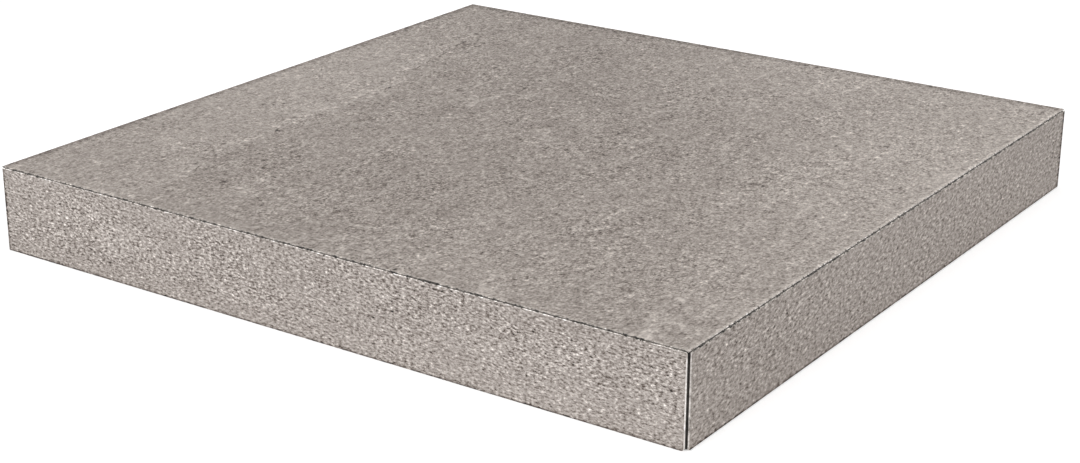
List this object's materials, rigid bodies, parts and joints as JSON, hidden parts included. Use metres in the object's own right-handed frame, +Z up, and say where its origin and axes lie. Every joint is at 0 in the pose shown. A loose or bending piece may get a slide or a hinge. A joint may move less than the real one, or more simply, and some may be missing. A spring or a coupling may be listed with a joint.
{
  "type": "porcelain corner stair tile",
  "caption": "Square porcelain stair tile for the outer corner of a step, with a mitred nosing strip glued under each of its two front edges and an open hollow below for the step.",
  "frame": {"origin": "middle of the square footprint, level with the feet of the nosing strips", "axes": "+Z up through the tread; the front nosing faces -Y and the side nosing faces +X, so the outer corner of the stair is at +X, -Y"},
  "size_m": [0.33, 0.33, 0.037],
  "materials": {
    "porcelain_slab": "matte, fine sandy concrete look",
    "porcelain_front": "matte, fine sandy concrete look",
    "porcelain_side": "matte, fine sandy concrete look",
    "joint_adhesive": "matte epoxy adhesive"
  },
  "bodies": {
    "root": {"tread_slab": "porcelain_slab", "front_nosing_strip": "porcelain_front", "side_nosing_strip": "porcelain_side", "front_joint_adhesive": "joint_adhesive", "side_joint_adhesive": "joint_adhesive", "corner_joint_adhesive": "joint_adhesive"}
  },
  "joints": []
}
